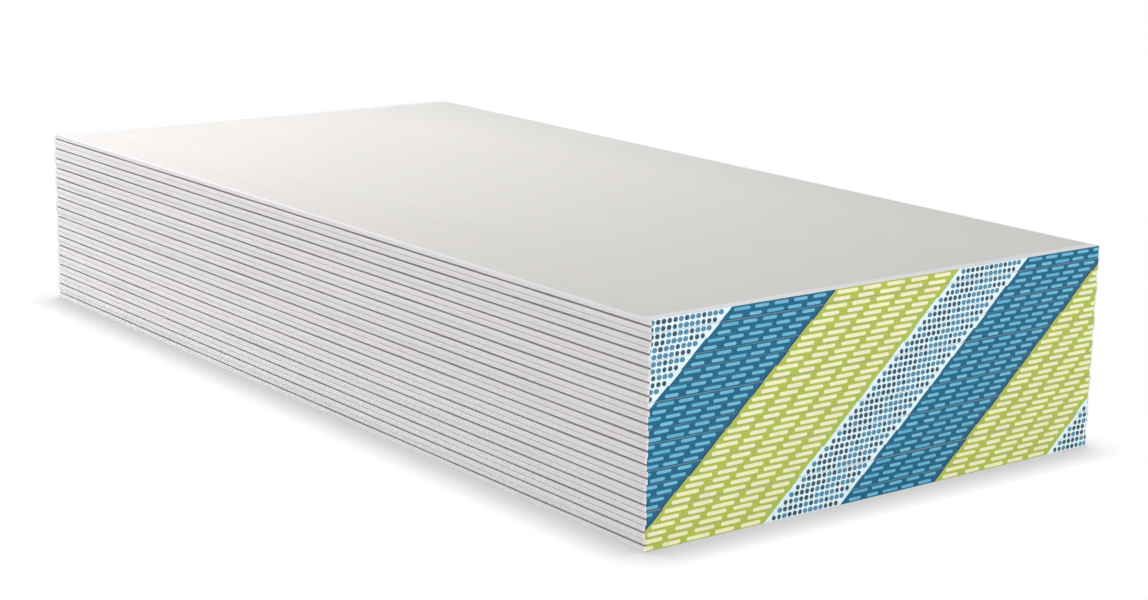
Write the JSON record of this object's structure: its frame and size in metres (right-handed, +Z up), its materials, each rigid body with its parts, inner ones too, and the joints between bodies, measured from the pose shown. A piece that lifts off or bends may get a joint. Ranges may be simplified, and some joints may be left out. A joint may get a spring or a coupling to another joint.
{
  "type": "stack of drywall sheets",
  "caption": "Level stack of drywall sheets with tapered long edges, paired face to face, each pair bound at both ends by a folded strip of striped paper tape.",
  "frame": {"origin": "middle of the stack's underside", "axes": "+X across the sheets, +Y along their length, +Z up; the bundles are numbered from the bottom"},
  "size_m": [1.2216, 2.441, 0.4352],
  "materials": {
    "board_paper": "matte",
    "tape_paper": "satin"
  },
  "bodies": {
    "root": {"bundle_01_lower_sheet": "board_paper", "bundle_01_upper_sheet": "board_paper", "bundle_01_end_tapes": "tape_paper", "bundle_02_lower_sheet": "board_paper", "bundle_02_upper_sheet": "board_paper", "bundle_02_end_tapes": "tape_paper", "bundle_03_lower_sheet": "board_paper", "bundle_03_upper_sheet": "board_paper", "bundle_03_end_tapes": "tape_paper", "bundle_04_lower_sheet": "board_paper", "bundle_04_upper_sheet": "board_paper", "bundle_04_end_tapes": "tape_paper", "bundle_05_lower_sheet": "board_paper", "bundle_05_upper_sheet": "board_paper", "bundle_05_end_tapes": "tape_paper", "bundle_06_lower_sheet": "board_paper", "bundle_06_upper_sheet": "board_paper", "bundle_06_end_tapes": "tape_paper", "bundle_07_lower_sheet": "board_paper", "bundle_07_upper_sheet": "board_paper", "bundle_07_end_tapes": "tape_paper", "bundle_08_lower_sheet": "board_paper", "bundle_08_upper_sheet": "board_paper", "bundle_08_end_tapes": "tape_paper", "bundle_09_lower_sheet": "board_paper", "bundle_09_upper_sheet": "board_paper", "bundle_09_end_tapes": "tape_paper", "bundle_10_lower_sheet": "board_paper", "bundle_10_upper_sheet": "board_paper", "bundle_10_end_tapes": "tape_paper", "bundle_11_lower_sheet": "board_paper", "bundle_11_upper_sheet": "board_paper", "bundle_11_end_tapes": "tape_paper", "bundle_12_lower_sheet": "board_paper", "bundle_12_upper_sheet": "board_paper", "bundle_12_end_tapes": "tape_paper", "bundle_13_lower_sheet": "board_paper", "bundle_13_upper_sheet": "board_paper", "bundle_13_end_tapes": "tape_paper", "bundle_14_lower_sheet": "board_paper", "bundle_14_upper_sheet": "board_paper", "bundle_14_end_tapes": "tape_paper", "bundle_15_lower_sheet": "board_paper", "bundle_15_upper_sheet": "board_paper", "bundle_15_end_tapes": "tape_paper", "bundle_16_lower_sheet": "board_paper", "bundle_16_upper_sheet": "board_paper", "bundle_16_end_tapes": "tape_paper", "bundle_17_lower_sheet": "board_paper", "bundle_17_upper_sheet": "board_paper", "bundle_17_end_tapes": "tape_paper"}
  },
  "joints": []
}
